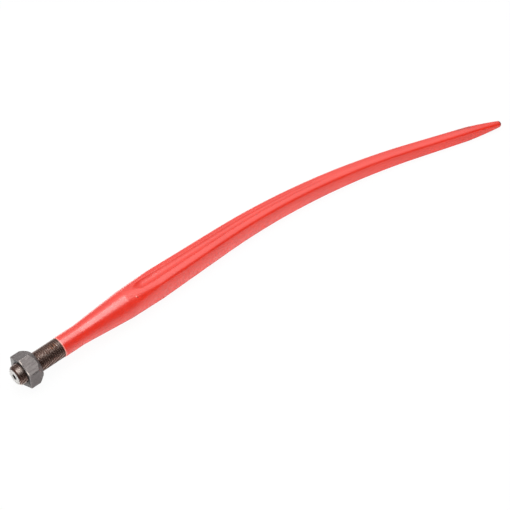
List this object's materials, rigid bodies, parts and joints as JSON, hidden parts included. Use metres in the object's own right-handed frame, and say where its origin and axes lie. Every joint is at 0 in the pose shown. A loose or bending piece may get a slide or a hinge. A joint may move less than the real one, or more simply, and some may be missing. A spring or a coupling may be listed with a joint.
{
  "type": "bale fork tine",
  "caption": "Bent steel tine for a bale fork: threaded end with a hexagon nut, round taper seat, square body with a flute in its top and bottom faces that tapers along a gentle bend, and a blunt point.",
  "frame": {"origin": "on the shank's axis, in the plane of the nut's seat face", "axes": "+X along the shank's axis towards the point, +Z square to the plane of the bend, and the point bends towards -Y; the tine lies on its side"},
  "size_m": [0.7955, 0.128, 0.0496],
  "materials": {
    "red_paint": "semi-gloss red paint over a forged surface",
    "bare_steel": "dull bare steel with bright worn edges",
    "dark_thread": "dark oiled thread with brown stains"
  },
  "bodies": {
    "root": {"tine": "red_paint", "hex_nut": "bare_steel"}
  },
  "joints": []
}
